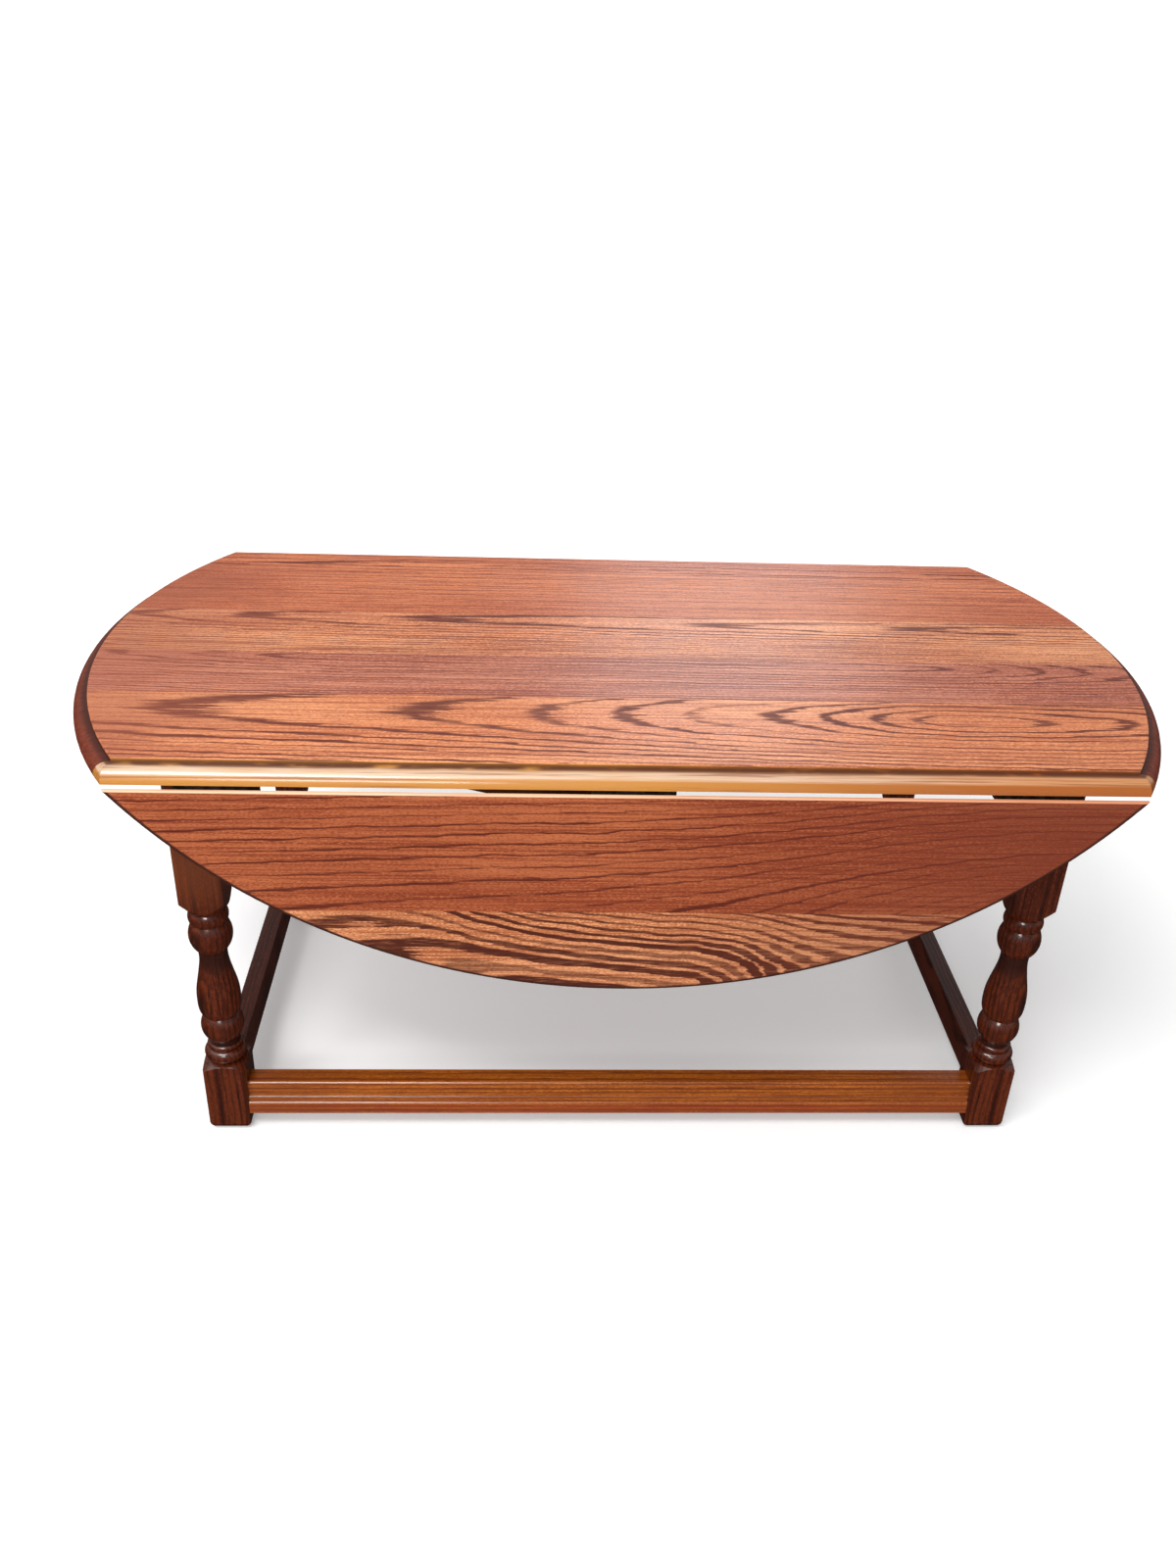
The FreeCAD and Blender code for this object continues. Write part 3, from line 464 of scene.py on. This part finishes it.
LEG_TONES = ((0.066, 0.0085, 0.0010), (0.115, 0.0185, 0.0030), (0.038, 0.0045, 0.0008),
             (0.028, 0.0040, 0.0008))
RAIL_TONES = ((0.330, 0.078, 0.006), (0.430, 0.125, 0.014), (0.210, 0.042, 0.004),
              (0.130, 0.024, 0.003))
INNER_TONES = ((0.20, 0.075, 0.034), (0.26, 0.105, 0.050), (0.15, 0.052, 0.025),
               (0.06, 0.022, 0.012))
BARE_TONES = ((0.50, 0.30, 0.15), (0.58, 0.38, 0.21), (0.40, 0.22, 0.11), (0.22, 0.11, 0.05))


def dress():
    top = top_oak()
    leaves = {"front_leaf": leaf_oak("front_leaf_oak", 5.0),
              "back_leaf": leaf_oak("back_leaf_oak", 41.0)}
    upright = frame_oak("leg_oak", 2, LEG_TONES, 3.0, 0.32, 1.0, (0.045, 0.06),
                        local=from_leg_axis, tint=leg_hollow_shade_and_warm_heads)
    long_rail = frame_oak("long_rail_oak", 0, RAIL_TONES, 8.0, 0.30, 1.0, (-0.05, 0.35),
                          tint=rail_shine)
    short_rail = frame_oak("short_rail_oak", 1, LEG_TONES, 12.0, 0.34, 0.5, (0.02, 0.6))
    inner_long = frame_oak("inner_long_oak", 0, INNER_TONES, 15.0, 0.5, 0.2, (0.1, 0.3))
    inner_short = frame_oak("inner_short_oak", 1, INNER_TONES, 19.0, 0.5, 0.2, (0.3, 0.1))
    bare = frame_oak("bare_oak", 0, BARE_TONES, 21.0, 0.6, 0.2, (0.1, 0.3))
    steel = metal("hinge_steel", (0.16, 0.12, 0.09), (0.34, 0.29, 0.22), 0.42)
    bright = metal("screw_steel", (0.40, 0.37, 0.33), (0.22, 0.18, 0.14), 0.32)
    brass = metal("washer_brass", (0.62, 0.42, 0.16), (0.40, 0.25, 0.10), 0.35)
    for name, piece in nodes.items():
        if name == "top_panel":
            chosen = top
        elif name in leaves:
            chosen = leaves[name]
        elif name.startswith("leg_"):
            chosen = upright
        elif name in ("front_stretcher", "back_stretcher"):
            chosen = long_rail
        elif name in ("left_stretcher", "right_stretcher", "left_apron", "right_apron"):
            chosen = short_rail
        elif name in ("centre_rail", "centre_bearer"):
            chosen = inner_short
        elif name == "spine_rail" or name.endswith("bracket"):
            chosen = inner_long
        elif name in ("top_buttons", "corner_blocks"):
            chosen = bare
        elif "screws" in name:
            chosen = bright
        elif "washers" in name:
            chosen = brass
        else:
            chosen = steel
        piece.data.materials.clear()
        piece.data.materials.append(chosen)


# ---- studio ----
def floor():
    """Pale floor that rises to a low rim far out. It glows a little, more further out.

    Polished wood doesn't reflect it, so that it doesn't wash the dark tones out.
    """
    rim = ((0.0, 0.0), (4.0, 0.0), (9.0, 0.0), (9.8, 0.1), (10.3, 0.5), (10.5, 1.2), (10.5, 2.0))
    around = 96
    points, faces = [(0.0, 0.0, 0.0)], []
    for radius, height in rim[1:]:
        for step in range(around):
            angle = 2 * math.pi * step / around
            points.append((radius * math.cos(angle), radius * math.sin(angle), height))
    for step in range(around):
        after = (step + 1) % around
        faces.append((0, 1 + step, 1 + after))
        for ring in range(len(rim) - 2):
            low, high = 1 + ring * around, 1 + (ring + 1) * around
            faces.append((low + step, high + step, high + after, low + after))
    mesh = bpy.data.meshes.new("floor")
    mesh.from_pydata(points, [], faces)
    mesh.polygons.foreach_set("use_smooth", [True] * len(mesh.polygons))
    piece = bpy.data.objects.new("floor", mesh)
    bpy.context.scene.collection.objects.link(piece)
    made, tree, shader = material("floor_white")
    x, y, _ = position(tree)
    tone = noise(x, y, scale=4.0, detail=4.0)
    tree.links.new(blend(tree, tone.band(-0.3, 0.3), (0.86, 0.86, 0.86), (0.88, 0.88, 0.88)),
                   shader.inputs["Base Color"])
    shader.inputs["Roughness"].default_value = 0.9
    shader.inputs["Specular IOR Level"].default_value = 0.0
    shader.inputs["Emission Color"].default_value = (1.0, 1.0, 1.0, 1.0)
    away = (x * x + y * y).op("SQRT")
    plug(tree, away.band(0.5, 2.6, 0.26, 0.80), shader.inputs["Emission Strength"])
    mesh.materials.append(made)
    piece.visible_glossy = False


def lamp(name, place, aim, size, power):
    light = bpy.data.lights.new(name, "AREA")
    light.shape = "RECTANGLE"
    light.size = size[0]
    light.size_y = size[1]
    light.energy = power
    holder = bpy.data.objects.new(name, light)
    bpy.context.scene.collection.objects.link(holder)
    holder.location = place
    toward = Vector(aim) - Vector(place)
    holder.rotation_euler = toward.to_track_quat("-Z", "Y").to_euler()


def sky():
    """Broad soft light from above."""
    light = bpy.data.lights.new("sky", "SUN")
    light.energy = 1.20
    light.angle = math.radians(70)
    holder = bpy.data.objects.new("sky", light)
    bpy.context.scene.collection.objects.link(holder)
    holder.rotation_euler = Vector((0.35, 0.15, -1.0)).to_track_quat("-Z", "Y").to_euler()


def world():
    """Backdrop: white where the camera sees it, and dim as a light, most of all from below."""
    made = bpy.data.worlds.new("studio")
    bpy.context.scene.world = made
    made.use_nodes = True
    tree = made.node_tree
    back = tree.nodes["Background"]
    coordinates = tree.nodes.new("ShaderNodeTexCoord")
    split = tree.nodes.new("ShaderNodeSeparateXYZ")
    tree.links.new(coordinates.outputs["Generated"], split.inputs[0])
    height = Field(tree, split.outputs[2])
    seen = Field(tree, tree.nodes.new("ShaderNodeLightPath").outputs["Is Camera Ray"])
    light = blend(tree, height.band(-0.15, 0.25), (0.015, 0.015, 0.015), (0.30, 0.30, 0.30))
    tree.links.new(blend(tree, seen, light, (1.0, 1.0, 1.0)), back.inputs["Color"])
    back.inputs["Strength"].default_value = 1.0


def camera():
    yaw, pitch, roll = LOOK_TURN
    ahead = (math.sin(yaw) * math.cos(pitch), math.cos(yaw) * math.cos(pitch), math.sin(pitch))
    right = (math.cos(yaw), -math.sin(yaw), 0.0)
    up = (right[1] * ahead[2] - right[2] * ahead[1], right[2] * ahead[0] - right[0] * ahead[2],
          right[0] * ahead[1] - right[1] * ahead[0])
    c, s = math.cos(roll), math.sin(roll)
    right_rolled = [c * a + s * b for a, b in zip(right, up)]
    up_rolled = [-s * a + c * b for a, b in zip(right, up)]
    lens = bpy.data.cameras.new("camera")
    lens.sensor_fit = "AUTO"
    lens.sensor_width = SENSOR
    lens.lens = LENS
    holder = bpy.data.objects.new("camera", lens)
    bpy.context.scene.collection.objects.link(holder)
    turn = Matrix((right_rolled, up_rolled, [-value for value in ahead])).transposed().to_4x4()
    holder.matrix_world = Matrix.Translation(LOOK_FROM) @ turn
    bpy.context.scene.camera = holder


dress()
floor()
world()
sky()
lamp("key", (-0.9, -1.5, 2.5), (0.0, -0.1, 0.35), (1.3, 0.5), 40.0)
lamp("front", (-0.7, -3.0, 1.9), (0.0, -0.2, 0.2), (0.9, 0.4), 24.0)
lamp("window", (0.62, 3.2, 1.9), (0.1, 0.0, 0.45), (1.0, 0.7), 11.0)
camera()
bpy.context.scene.view_settings.view_transform = "Standard"
